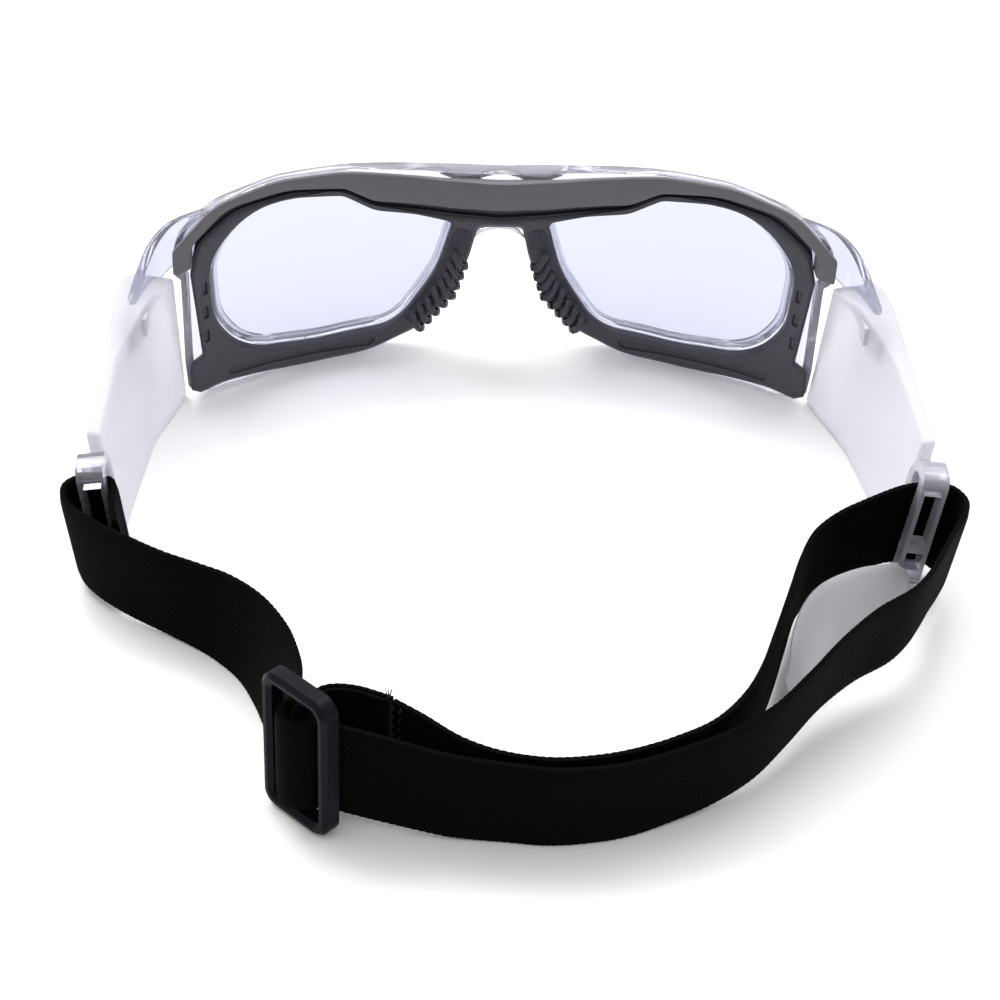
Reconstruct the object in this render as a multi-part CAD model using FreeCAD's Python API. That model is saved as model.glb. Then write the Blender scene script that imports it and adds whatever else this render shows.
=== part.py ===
"""Sports protective goggles: a wrapped clear frame with lenses, a soft face gasket and brow pad,
flexing silicone temples on clear links, and an elastic head strap with a slide adjuster.

Millimetres.  +X is the wearer's right, +Y is the way the goggles face, +Z is up.
The drawing's own zero in Y is the front of the bridge; every solid is moved by ORIGIN_SHIFT_Y
when it is written, so that the row's origin is the middle of the footprint, on the table."""
import FreeCAD
import Part
import math
import os
from FreeCAD import Vector

ORIGIN_SHIFT_Y = 76.4

# --- front -------------------------------------------------------------------------------------
WRAP_RADIUS = 90.0          # face-form curve of the whole front, about a vertical axis
FRAME_DEPTH = 4.6           # clear frame, front to back
FRAME_END = 61.8            # half the front's width, at the frame's upright ends
BRIDGE_TOP = 38.4           # height of the frame's top edge over the nose
FRONT_SLOPE = 0.8           # how much of the brow's rise above the bridge the frame's front keeps
FRONT_SLICE = 2.4           # depth of that lower front
LENS_FRONT = -0.6           # lens set back from the frame's front
LENS_BACK = -2.4
LENS_EDGE = 0.75            # how far the lens blank runs past the sight opening
LENS_PLAY = 0.1             # gap round the blank in its rebate
RIM_LIP = 1.1               # how far the frame's rear lip stands inside the gasket's opening
GASKET_BACK = -6.6
GASKET_BASE_BACK = -5.4     # thin web of the gasket that runs up behind the brow pad's groove
BROW_BACK = -8.4
NOSE_PAD_BACK = -9.4

# --- temples -----------------------------------------------------------------------------------
PIVOT = (64.6, -27.2)       # vertical hinge between the frame's lug and the temple link
PIN_RADIUS = 0.9            # post moulded in one with the lug
PIN_CLEARANCE = 0.05
KNUCKLE_RADIUS = 2.2
LUG_LOW, LUG_HIGH = 29.0, 36.8
EYE_LOW, EYE_HIGH = 31.4, 34.6
EYE_GAP = 0.2
LINK_HEIGHT = 5.6
LINK_THICK = 1.8
STUD_AT = (68.9, -42.5)
STUD_LOW = 24.6
STUD_SIDE = 3.6             # the stud's square head
STUD_HEAD = 0.7
STUD_SHOULDER = 0.6         # how far the head stands out round the shaft
STUD_INNER = 2.4            # from the link's middle to the head's shoulder, towards the head
STUD_OUTER = 2.0            # from the link's middle to the shaft's end

# --- strap and its fittings --------------------------------------------------------------------
STRAP_WIDTH = 16.8
STRAP_THICK = 1.4
BAR_WIDTH = 4.6             # clear strap loop, across
BAR_LEAN = 7.0              # degrees that the loop leans outward
BAR_WALL = 0.8              # either side of the bar's two windows
BAR_WINDOWS = ((8.2, 18.4), (3.0, 6.4))
LOOP_X = 69.6               # the loop's middle at the table
LOOP_HEIGHT = 22.4
SLIDER_HEIGHT = 26.0
SLIDER_WIDTH = 14.0
SLIDER_THICK = 3.0
SLIDER_RIM = 2.0
SLIDER_BEVEL = 0.7
SLIDER_BAR_RADIUS = 1.1
SLIDER_BAR_IN = 0.9         # the middle bar sits this far to the head's side
SLIDER_AT = (-35.0, -144.3)
SLIDER_ALONG = (0.70, -0.714)
END_LOOP_WALL = 1.0         # webbing stretched round the adjuster's bar
END_LOOP_FIT = 0.08
END_LOOP_THICK = 2.0        # both layers, pressed together

os.makedirs("parts", exist_ok=True)


# --- helpers -----------------------------------------------------------------------------------
def rounded(points):
    """A closed wire in the XZ plane through corners (x, z, radius), each rounded by its radius."""
    corners = [Vector(x, 0, z) for x, z, _ in points]
    count = len(points)
    edges = []
    starts = []
    ends = []
    mids = []
    for i, (_, _, radius) in enumerate(points):
        here = corners[i]
        back = (corners[i - 1] - here).normalize()
        ahead = (corners[(i + 1) % count] - here).normalize()
        turn = back.getAngle(ahead)
        if radius == 0 or turn > math.pi - 0.01:
            starts.append(here)
            ends.append(here)
            mids.append(None)
            continue
        reach = radius / math.tan(turn / 2)
        middle = (back + ahead).normalize()
        starts.append(here + back * reach)
        ends.append(here + ahead * reach)
        mids.append(here + middle * (radius / math.sin(turn / 2) - radius))
    for i in range(count):
        if mids[i] is not None:
            edges.append(Part.Arc(starts[i], mids[i], ends[i]).toShape())
        nxt = (i + 1) % count
        if (starts[nxt] - ends[i]).Length > 1e-6:
            edges.append(Part.LineSegment(ends[i], starts[nxt]).toShape())
    return Part.Wire(edges)


def grown(points, by):
    """The same corners moved outward by a distance (inward if negative), radii kept in step."""
    count = len(points)
    area = sum(points[i - 1][0] * points[i][1] - points[i][0] * points[i - 1][1] for i in range(count))
    side = 1 if area > 0 else -1
    moved = []
    for i, (x, z, radius) in enumerate(points):
        ax, az = x - points[i - 1][0], z - points[i - 1][1]
        bx, bz = points[(i + 1) % count][0] - x, points[(i + 1) % count][1] - z
        la, lb = math.hypot(ax, az), math.hypot(bx, bz)
        nx, nz = side * (az / la + bz / lb), -side * (ax / la + bx / lb)
        k = 2 * by / (nx * nx + nz * nz)
        inside_turn = side * (ax * bz - az * bx) > 0
        moved.append((x + nx * k, z + nz * k, max(0.2, radius + (by if inside_turn else -by))))
    return moved


def prism(wire, low=-70.0, high=10.0):
    """The XZ outline as a bar along Y."""
    face = Part.Face(wire)
    face.translate(Vector(0, low, 0))
    return face.extrude(Vector(0, high - low, 0))


def wrap_shell(front, back):
    """The curved slice of the front between two depths behind the frame's front surface."""
    outer = Part.makeCylinder(WRAP_RADIUS, 80, Vector(0, front - WRAP_RADIUS, -15))
    inner = Part.makeCylinder(WRAP_RADIUS, 80, Vector(0, back - WRAP_RADIUS, -15))
    return outer.cut(inner)


def wrapped(points, front, back):
    """An outline given by its corners, as a plate that follows the front's curve."""
    return prism(rounded(points)).common(wrap_shell(front, back))


def mirrored(shape):
    return shape.mirror(Vector(0, 0, 0), Vector(1, 0, 0))


def both_halves(half):
    """A closed symmetric outline from its right-hand corners, top centre to bottom centre."""
    left = [(-x, z, r) for x, z, r in reversed(half) if x > 0.01]
    return half + left


def plan_prism(points, low, high):
    """A straight-sided outline in plan, as a bar along Z."""
    wire = Part.makePolygon([Vector(x, y, low) for x, y in points + points[:1]])
    return Part.Face(wire).extrude(Vector(0, 0, high - low))


def post(x, y, radius, low, high):
    return Part.makeCylinder(radius, high - low, Vector(x, y, low))


def smooth_route(points, steps):
    """Points on a smooth line through the given ones: a cubic between each pair, `steps` to a gap."""
    count = len(points)
    along = [0.0]
    for a, b in zip(points, points[1:]):
        along.append(along[-1] + math.hypot(b[0] - a[0], b[1] - a[1]))
    slopes = []
    for i in range(count):
        a, b = max(i - 1, 0), min(i + 1, count - 1)
        slopes.append([(q - p) / (along[b] - along[a]) for p, q in zip(points[a], points[b])])
    route = []
    for i in range(count - 1):
        gap = along[i + 1] - along[i]
        for k in range(steps):
            t = k / steps
            keep, lead = 2 * t**3 - 3 * t**2 + 1, (t**3 - 2 * t**2 + t) * gap
            come, tail = 3 * t**2 - 2 * t**3, (t**3 - t**2) * gap
            terms = zip(points[i], slopes[i], points[i + 1], slopes[i + 1])
            route.append([keep * p + lead * m + come * q + tail * n for p, m, q, n in terms])
    route.append(list(points[-1]))
    return route


def band_sections(route, thick, height):
    """Upright cross-sections of a flat band along a route of (x, y, z low, lean x, lean y)."""
    sections = []
    for i, (x, y, z, lean_x, lean_y) in enumerate(route):
        before, after = route[max(i - 1, 0)], route[min(i + 1, len(route) - 1)]
        tx, ty = after[0] - before[0], after[1] - before[1]
        size = math.hypot(tx, ty)
        nx, ny = ty / size * thick / 2, -tx / size * thick / 2
        low_in, low_out = Vector(x - nx, y - ny, z), Vector(x + nx, y + ny, z)
        top = Vector(lean_x, lean_y, height)
        sections.append(Part.makePolygon([low_in, low_out, low_out + top, low_in + top, low_in]))
    return sections


def band(sections):
    return Part.makeLoft(sections, True, True)


# --- front outlines (right-hand half: x, z, corner radius) -------------------------------------
SIGHT = [
    (9.4, 29.0, 1.2), (25.7, 33.9, 12.0), (31.4, 38.0, 9.0), (48.6, 38.4, 13.5), (55.9, 29.5, 10.8),
    (55.3, 16.5, 14.0), (50.1, 7.4, 12.0), (36.4, 5.5, 30.0), (20.5, 6.4, 9.0), (12.5, 18.0, 26.0),
]
FRAME_HALF = [
    (0, BRIDGE_TOP, 60), (12.1, 39.2, 30), (30.4, 41.5, 30), (43.5, 42.1, 20), (54.6, 40.2, 10), (FRAME_END, 36.4, 4),
    (FRAME_END, 28.4, 0.6), (60.9, 27.2, 0.6), (60.8, 8.8, 0.5), (60.4, 3.2, 1.2), (57.2, 0.8, 3),
    (38.5, 0.0, 30), (24.8, 0.7, 4), (13.5, 7.6, 8), (7.3, 16.5, 8), (5.2, 26.4, 5.8), (0, 26.4, 0),
]
GASKET_HALF = [
    (0, 29.7, 0), (9.1, 30.7, 30), (24.3, 33.8, 8), (30.4, 37.9, 5), (40.5, 39.4, 14), (51.1, 38.6, 9),
    (57.7, 34.2, 5), (59.1, 28.6, 3), (57.5, 9.8, 0.8), (59.8, 8.7, 0.6), (59.8, 3.3, 0.8), (58.1, 1.9, 0.8),
    (53.6, 2.3, 8), (38.5, 0.9, 30), (25.8, 1.2, 20), (15.2, 5.8, 14), (8.3, 13.6, 16), (5.7, 22.1, 8),
    (4.4, 27.7, 1.2), (0, 27.7, 0),
]
GASKET_TOP_POINTS = 7       # how many of the gasket's corners lie along its top
BROW_HALF = [
    (0, 38.0, 40), (11.1, 39.2, 30), (30.4, 42.8, 30), (43.5, 43.5, 20), (54.6, 41.7, 9), (FRAME_END, 35.6, 1.6),
    (FRAME_END, 30.4, 0.7), (58.6, 30.4, 0.7), (58.6, 35.0, 3), (52.1, 40.3, 7), (41.0, 41.0, 16), (30.4, 39.2, 5),
    (24.8, 35.7, 8), (9.1, 32.9, 30), (0, 32.1, 50),
]
NOSE_PAD = [
    (6.4, 21.4, 1.0), (9.7, 21.6, 0.8), (12.3, 15.2, 12.0), (17.8, 8.2, 1.0), (15.2, 6.5, 1.5), (8.8, 13.9, 8.0),
]


# --- front pieces ------------------------------------------------------------------------------
def bridge_recess(back):
    """The pocket over the bridge that the brow pad's tab fills, with an arched window left in it."""
    tab = [(-13.2, 37.4, 0.8), (13.2, 37.4, 0.8), (11.6, 32.9, 0.8), (-11.6, 32.9, 0.8)]
    arch = [(-5.6, 38.5, 0), (5.6, 38.5, 0), (4.6, 34.6, 1.6), (-4.6, 34.6, 1.6)]
    return wrapped(tab, -1.6, back).cut(prism(rounded(arch)))


def front_frame():
    """Clear polycarbonate chassis: rims, bridge, lens rebates and the two hinge lugs."""
    low_front = [(x, z if z < BRIDGE_TOP or x == FRAME_END else BRIDGE_TOP + (z - BRIDGE_TOP) * FRONT_SLOPE, r)
                 for x, z, r in FRAME_HALF]
    body = wrapped(both_halves(FRAME_HALF), -FRONT_SLICE, -FRAME_DEPTH)
    body = body.fuse(wrapped(both_halves(low_front), 0, -FRONT_SLICE))
    for flip in (False, True):
        rebate = wrapped(grown(SIGHT, LENS_EDGE + LENS_PLAY), 5, LENS_BACK)
        sight = prism(rounded(grown(SIGHT, -RIM_LIP)))
        opening = rebate.fuse(sight)
        body = body.cut(mirrored(opening) if flip else opening)
    body = body.cut(bridge_recess(-FRAME_DEPTH))
    x, y = PIVOT
    eye_space = post(x, y, KNUCKLE_RADIUS + 0.45, EYE_LOW - EYE_GAP, EYE_HIGH + EYE_GAP)
    hinge_post = post(x, y, PIN_RADIUS, LUG_LOW, LUG_HIGH)
    web = plan_prism([(60.2, -24.0), (62.2, -24.6), (x + 1.5, y + 1.6), (x - 1.9, y - 1.1), (60.4, -27.6)],
                     LUG_LOW, LUG_HIGH)
    lug = post(x, y, KNUCKLE_RADIUS, LUG_LOW, LUG_HIGH).fuse(web)
    lug = lug.cut(eye_space).fuse(hinge_post)
    return body.fuse([lug, mirrored(lug)]).removeSplitter()


def lens():
    return wrapped(grown(SIGHT, LENS_EDGE), LENS_FRONT, LENS_BACK)


def face_gasket():
    """Soft dark ring behind the frame, one piece across the nose, with a thin web under the brow pad."""
    ring = wrapped(both_halves(GASKET_HALF), -FRAME_DEPTH, GASKET_BACK)
    groove_floor = [(x, z + (2.0 if i < GASKET_TOP_POINTS else 0.0), r) for i, (x, z, r) in enumerate(GASKET_HALF)]
    web = wrapped(both_halves(groove_floor), -FRAME_DEPTH, GASKET_BASE_BACK)
    body = ring.fuse(web)
    for flip in (False, True):
        sight = prism(rounded(SIGHT))
        body = body.cut(mirrored(sight) if flip else sight)
    return body.cut(wrapped(grown(both_halves(BROW_HALF), 0.05), -FRAME_DEPTH, BROW_BACK)).removeSplitter()


def brow_pad():
    """Grey brow cushion: a bar over both lenses, squared ends, and a tab that keys into the bridge."""
    bar = wrapped(both_halves(BROW_HALF), -FRAME_DEPTH, BROW_BACK)
    return bar.fuse(bridge_recess(-FRAME_DEPTH)).removeSplitter()


def nose_pad():
    """Ribbed soft pad on the gasket's nose side: a base and eight fins."""
    base = wrapped(NOSE_PAD, GASKET_BACK, GASKET_BACK - 0.8)
    outline = prism(rounded(NOSE_PAD)).common(wrap_shell(GASKET_BACK - 0.8, NOSE_PAD_BACK))
    fins = []
    for i in range(8):
        rung = Part.makeBox(24, 60, 1.0, Vector(0, -60, 0))
        rung.rotate(Vector(0, 0, 0), Vector(0, 1, 0), 18)
        rung.translate(Vector(0, 0, 8.6 + 1.95 * i))
        fins.append(rung.common(outline))
    return base.fuse(fins).removeSplitter()


# --- temple pieces (right-hand side; the left is the mirror image) -----------------------------
LINK_ROUTE = [   # middle of the band in plan, and its lower edge
    (65.2, -29.9, 30.4), (66.5, -33.0, 28.8), (68.0, -37.5, 26.0), (68.9, -42.5, 24.0), (69.4, -47.5, 23.0),
]
PAD_STATIONS = [   # y; inner x low and high; outer x low and high; inner and outer top
    (-24.8, 61.0, 61.0, 63.0, 63.6, 29.6, 29.8), (-29.5, 61.8, 61.4, 64.4, 68.6, 29.6, 30.6),
    (-34.0, 63.0, 62.2, 66.0, 71.2, 29.6, 31.0), (-39.0, 64.6, 65.4, 67.4, 71.8, 29.8, 30.6),
    (-45.0, 65.9, 66.8, 68.5, 72.0, 29.2, 29.8), (-56.0, 67.0, 69.8, 69.6, 72.5, 27.4, 27.8),
    (-67.0, 68.0, 70.4, 70.6, 73.0, 25.4, 25.7), (-75.6, 68.6, 70.9, 71.2, 73.6, 23.6, 24.0),
]
TIP_RIGHT = [   # x, y of the tail's middle at the table; its top; its lean
    (69.5, -86.6, 3.8, 0.5), (67.7, -90.4, 7.6, 1.8), (63.4, -95.1, 10.0, 3.2), (58.6, -99.2, 11.0, 4.2),
    (54.4, -103.2, 11.4, 4.8), (51.9, -107.3, 11.2, 5.2), (50.0, -111.9, 10.2, 5.3), (47.9, -117.1, 8.2, 4.8),
    (44.9, -120.6, 5.4, 3.2),
]
TIP_LEFT = [    # the same tail pushed to the head's side of the webbing, as if seen on the right
    (66.8, -75.0, 1.8, 0.2), (65.6, -78.4, 2.4, 0.2), (64.3, -82.4, 3.8, 0.1), (63.2, -87.4, 5.4, 0.0),
    (60.6, -92.6, 6.2, 0.0), (56.2, -96.8, 6.6, 0.0), (51.0, -100.6, 6.4, 0.0), (46.6, -104.8, 5.6, 0.0),
    (43.4, -108.6, 3.8, 0.0),
]
TIP_FOOT, TIP_CREST = 1.1, 0.7      # half thickness at the table and along the top
SLANT = [(-20, -1), (-24.6, -1), (-31.8, 32), (-20, 32)]     # y, z of what the pad's front is cut by


def link_band():
    route = smooth_route([(x, y, z, 0, 0) for x, y, z in LINK_ROUTE], 4)
    return band(band_sections(route, LINK_THICK, LINK_HEIGHT))


def stud_shaft():
    x, y = STUD_AT
    side = STUD_SIDE - 2 * STUD_SHOULDER
    corner = Vector(x - STUD_INNER, y - side / 2, STUD_LOW + STUD_SHOULDER)
    return Part.makeBox(STUD_INNER + STUD_OUTER, side, side, corner)


def link_stud():
    """Square snap stud that pins the silicone to the link."""
    x, y = STUD_AT
    corner = Vector(x - STUD_INNER - STUD_HEAD, y - STUD_SIDE / 2, STUD_LOW)
    head = Part.makeBox(STUD_HEAD, STUD_SIDE, STUD_SIDE, corner)
    return stud_shaft().fuse(head).removeSplitter()


def temple_link():
    """Clear link: an eye on the lug's post, then a band that runs back and down into the silicone."""
    x, y = PIVOT
    eye = post(x, y, KNUCKLE_RADIUS, EYE_LOW, EYE_HIGH)
    neck = plan_prism([(x - 1.4, y - 0.6), (x + 1.6, y - 0.6), (x + 1.1, y - 3.2), (x - 0.7, y - 3.2)],
                      EYE_LOW, EYE_HIGH)
    bore = post(x, y, PIN_RADIUS + PIN_CLEARANCE, EYE_LOW - 1, EYE_HIGH + 1)
    return eye.fuse([neck, link_band()]).cut(bore).cut(stud_shaft()).removeSplitter()


def temple_pad():
    """Translucent silicone side: a thick front block round the link, thinning to a flexible panel."""
    sections = []
    for y, in_low, in_high, out_low, out_high, in_top, out_top in PAD_STATIONS:
        corners = [(in_low, -1), (out_low, -1), (out_low, 0), (out_high, out_top), (in_high, in_top), (in_low, 0)]
        sections.append(Part.makePolygon([Vector(x, y, z) for x, z in corners + corners[:1]]))
    body = Part.makeLoft(sections, True, True).cut(Part.makeBox(40, 80, 2, Vector(50, -90, -2)))
    slant = Part.Face(Part.makePolygon([Vector(50, y, z) for y, z in SLANT + SLANT[:1]]))
    return body.cut(slant.extrude(Vector(30, 0, 0))).cut(temple_link()).cut(link_stud())


def strap_loop():
    """Clear D-shaped loop: a post on the silicone, an arch, and a windowed bar for the strap."""
    side = [(-75.6, 1.0, 0.6), (-75.6, 18.2, 2.0), (-78.2, LOOP_HEIGHT, 3.2), (-84.4, LOOP_HEIGHT - 0.6, 2.4),
            (-85.0, 0, 1.0), (-76.4, 0, 0.6)]
    slot = [(-78.0, 1.2, 0.8), (-78.0, 18.8, 1.6), (-79.2, 20.1, 1.4), (-81.7, 20.1, 0.8), (-81.8, 1.2, 0.8)]
    half = BAR_WIDTH / 2
    outline = Part.Face(in_side_view(side)).extrude(Vector(BAR_WIDTH, 0, 0))
    inner = Part.Face(in_side_view(slot)).extrude(Vector(BAR_WIDTH, 0, 0))
    body = outline.cut(inner)
    for low, high in BAR_WINDOWS:
        body = body.cut(Part.makeBox(BAR_WIDTH - 2 * BAR_WALL, 12, high - low, Vector(BAR_WALL, -90, low)))
    body.translate(Vector(-half, 0, 0))
    body.rotate(Vector(0, 0, 0), Vector(0, 1, 0), BAR_LEAN)
    body.translate(Vector(LOOP_X, 0, -body.BoundBox.ZMin))
    return body


def in_side_view(points):
    """Corners given as (y, z, radius), as a wire in the YZ plane at x = 0."""
    wire = rounded(points)
    wire.rotate(Vector(0, 0, 0), Vector(0, 0, 1), 90)
    return wire


def temple_tip(route):
    """Soft silicone tail behind the loop, low on the table beside the webbing."""
    sections = []
    for i, (x, y, top, lean) in enumerate(route):
        before, after = route[max(i - 1, 0)], route[min(i + 1, len(route) - 1)]
        tx, ty = after[0] - before[0], after[1] - before[1]
        size = math.hypot(tx, ty)
        nx, ny = ty / size, -tx / size
        foot = Vector(nx, ny, 0) * TIP_FOOT
        crest = Vector(nx, ny, 0) * TIP_CREST
        low, high = Vector(x, y, 0), Vector(x + nx * lean, y + ny * lean, top)
        corners = [low - foot, low + foot, high + crest, high - crest]
        sections.append(Part.makePolygon(corners + corners[:1]))
    return Part.makeLoft(sections, True, True)


# --- strap -------------------------------------------------------------------------------------
def at_slider(along, out):
    """A point in plan given from the slider's middle: along the strap, and outward of the head."""
    tx, ty = SLIDER_ALONG
    return (SLIDER_AT[0] + tx * along + ty * out, SLIDER_AT[1] + ty * along - tx * out)


# bottom edge of the webbing in order from its sewn end: x, y, z low, lean x, lean y
STRAP = {
    "fold_left": [
        (-66.2, -92.6, 1.3, -1.0, 0), (-66.2, -89.6, 1.6, -1.6, 0), (-66.2, -86.4, 1.8, -2.0, 0),
        (-66.2, -83.3, 1.9, -2.1, 0), (-67.1, -81.0, 1.9, -2.1, 0), (-69.9, -80.5, 1.9, -2.1, 0),
        (-73.0, -81.0, 1.9, -2.2, 0), (-74.3, -83.4, 1.8, -2.4, 0), (-73.8, -87.2, 1.6, -2.2, 0),
        (-70.6, -91.6, 1.4, -1.4, 0),
    ],
    "left_run": [
        (-65.6, -95.8, 1.0, -0.6, 0), (-59.0, -100.0, 0.4, 0, 0), (-54.2, -103.2, 0.1, 1.2, 0.4),
        (-50.0, -106.8, 0, 2.4, 1.0), (-45.8, -112.0, 0, 3.6, 0.8), (-42.8, -118.8, 0.2, 4.6, 0.4),
        (-40.8, -125.4, 0.8, 4.6, 0.2), (-38.6, -132.0, 1.9, 3.4, 0),
    ],
    "outer_run": [
        at_slider(-5.9, -3.1) + (3.3, 1.4, 0), at_slider(-4.0, -1.9) + (3.8, 0.6, 0), at_slider(-3.1, 0.6) + (4.2, 0, 0),
        at_slider(-1.6, 2.4) + (4.4, 0, 0), at_slider(0, 2.9) + (4.4, 0, 0), at_slider(1.6, 2.4) + (4.4, 0, 0),
        at_slider(3.1, 0.6) + (4.2, 0, 0), at_slider(4.0, -1.9) + (3.8, 0, 0), at_slider(5.9, -3.1) + (3.2, 0, 0),
        (-24.3, -147.0, 2.3, 0, 0), (-18.6, -147.9, 1.3, 0, -0.4), (-12.6, -148.9, 0.5, 0, -0.8),
        (-4.8, -149.5, 0, 0, -1.4), (2.7, -150.3, 0, 0, -1.8), (10.2, -149.5, 0, 0.2, -2.0),
        (15.3, -148.1, 0, 0.4, -2.0), (21.5, -145.4, 0.3, 0.8, -2.2), (28.0, -142.3, 1.0, 1.2, -2.4),
        (34.7, -137.9, 2.2, 1.6, -2.6), (40.6, -131.6, 3.4, 1.9, -2.7), (47.0, -123.8, 4.3, 2.2, -2.6),
        (53.6, -117.4, 4.7, 2.2, -2.2), (60.6, -112.0, 4.5, 2.1, -1.8), (65.0, -106.4, 4.1, 2.0, -1.4),
        (69.8, -97.6, 3.2, 2.0, -0.8),
    ],
    "fold_right": [
        (74.0, -90.0, 2.6, 2.1, -0.3), (75.0, -86.2, 2.2, 2.3, 0), (74.5, -83.0, 2.0, 2.3, 0),
        (73.0, -81.0, 2.0, 2.2, 0), (69.9, -80.6, 2.0, 2.1, 0), (67.0, -81.1, 2.2, 2.1, 0),
    ],
    "inner_run": [
        (63.4, -83.2, 2.8, 2.4, 0), (58.4, -86.0, 2.4, 2.4, 0.2), (53.2, -89.4, 1.8, 2.0, 0.4),
        (49.2, -93.8, 1.4, 1.4, 0.4), (46.6, -98.6, 1.1, 1.2, 0.2), (43.4, -108.0, 0.9, 0.9, 0.1),
        (39.4, -119.6, 0.8, 0.6, 0), (35.9, -127.6, 0.7, 0.8, -0.6), (31.9, -133.9, 0.5, 1.0, -1.4),
        (26.6, -139.6, 0.3, 0.9, -1.8), (20.4, -143.2, 0.1, 0.6, -2.0), (14.6, -145.8, 0, 0.3, -1.9),
        (9.6, -147.3, 0, 0.1, -1.8), (2.6, -148.2, 0, 0, -1.6), (-4.6, -147.4, 0.1, 0, -1.2),
        (-11.0, -145.6, 0.8, 0, -0.6), (-17.0, -142.7, 2.4, 0, 0), (-21.0, -140.6, 3.4, 0, 0),
    ],
}
END_SEAM = [   # middle of the doubled end, from the adjuster's bar to the seam: x, y, z low
    at_slider(0, -SLIDER_BAR_IN) + (3.8,), (-33.6, -140.2, 3.8), (-31.0, -137.8, 3.9), (-27.0, -137.9, 3.8),
    (-21.4, -140.4, 3.6),
]
RUN_STEPS = 3


def strap_pieces():
    """The webbing, cut where it changes from one moving body to the next."""
    names = list(STRAP)
    points = [p for name in names for p in STRAP[name]]
    route = [(x, y, max(low, 0), *lean) for x, y, low, *lean in smooth_route(points, RUN_STEPS)]
    sections = band_sections(route, STRAP_THICK, STRAP_WIDTH)
    pieces = {}
    first = 0
    for name in names:
        last = first + len(STRAP[name])
        stop = min(last * RUN_STEPS, len(sections) - 1)
        pieces[name] = band(sections[first * RUN_STEPS:stop + 1])
        first = last
    return pieces


def strap_end_loop():
    """The sewn end: a ring round the adjuster's bar that closes into a double layer up to the seam."""
    x, y, low = END_SEAM[0]
    height = STRAP_WIDTH - 0.4
    bore = SLIDER_BAR_RADIUS + END_LOOP_FIT
    ring = post(x, y, bore + END_LOOP_WALL, low, low + height)
    route = smooth_route([point + (0, 0) for point in END_SEAM], 3)
    doubled = band(band_sections(route, END_LOOP_THICK, height))
    return ring.fuse(doubled).cut(post(x, y, bore, 0, 40)).removeSplitter()


def to_slider_frame(shape):
    """Moves a shape drawn with X along the strap and Y outward-reversed onto the slider's place."""
    angle = math.degrees(math.atan2(SLIDER_ALONG[1], SLIDER_ALONG[0]))
    shape.rotate(Vector(0, 0, 0), Vector(0, 0, 1), angle)
    shape.translate(Vector(SLIDER_AT[0], SLIDER_AT[1], 0))
    return shape


def slider():
    """Three-bar adjuster: a rounded rectangular frame with a middle bar."""
    half, thick = SLIDER_WIDTH / 2, SLIDER_THICK / 2
    frame = [(-half, 0, 3), (half, 0, 3), (half, SLIDER_HEIGHT, 3), (-half, SLIDER_HEIGHT, 3)]
    hole_low, hole_high = SLIDER_RIM, SLIDER_HEIGHT - SLIDER_RIM
    hole = [(-half + SLIDER_RIM, hole_low, 1.2), (half - SLIDER_RIM, hole_low, 1.2),
            (half - SLIDER_RIM, hole_high, 1.2), (-half + SLIDER_RIM, hole_high, 1.2)]
    body = prism(rounded(frame), -thick, thick).cut(prism(rounded(hole), -thick - 1, thick + 1))
    rear = [e for e in body.Edges if abs(e.BoundBox.YMin + thick) < 0.01 and abs(e.BoundBox.YMax + thick) < 0.01]
    outside = [e for e in rear if e.BoundBox.ZMin < 2.3 or e.BoundBox.ZMax > SLIDER_HEIGHT - 2.3
               or abs(abs(e.BoundBox.XMin) - half) < 0.01]
    body = body.makeChamfer(SLIDER_BEVEL, outside)
    bar = post(0, SLIDER_BAR_IN, SLIDER_BAR_RADIUS, hole_low - 1, hole_high + 1)
    return to_slider_frame(body.fuse(bar).removeSplitter())


# --- write -------------------------------------------------------------------------------------
def all_nodes():
    nodes = {"front_frame": front_frame(), "face_gasket": face_gasket(), "brow_pad": brow_pad()}
    right = {"lens": lens(), "nose_pad": nose_pad(), "temple_link": temple_link(),
             "temple_pad": temple_pad(), "link_stud": link_stud(), "strap_loop": strap_loop()}
    for name, shape in right.items():
        nodes[name + "_right"] = shape
        nodes[name + "_left"] = mirrored(shape)
    nodes["temple_tip_right"] = temple_tip(TIP_RIGHT)
    nodes["temple_tip_left"] = mirrored(temple_tip(TIP_LEFT))
    for name, shape in strap_pieces().items():
        nodes["strap_" + name] = shape
    nodes["strap_end_loop"] = strap_end_loop()
    nodes["strap_slider"] = slider()
    return nodes


for node, solid in all_nodes().items():
    solid.translate(Vector(0, ORIGIN_SHIFT_Y, 0))
    if not solid.isValid() or len(solid.Solids) != 1:
        print("CHECK", node, "valid", solid.isValid(), "solids", len(solid.Solids))
    solid.exportStep(f"parts/{node}.step")
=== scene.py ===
"""Sports protective goggles standing on a pale floor, seen from behind and above.

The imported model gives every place.  Sizes here are in millimetres in the model's own drawing zero
(the front of the bridge) and are turned into metres in the row frame by place()."""
import bpy
import bmesh
import math
from mathutils import Matrix, Vector


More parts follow.
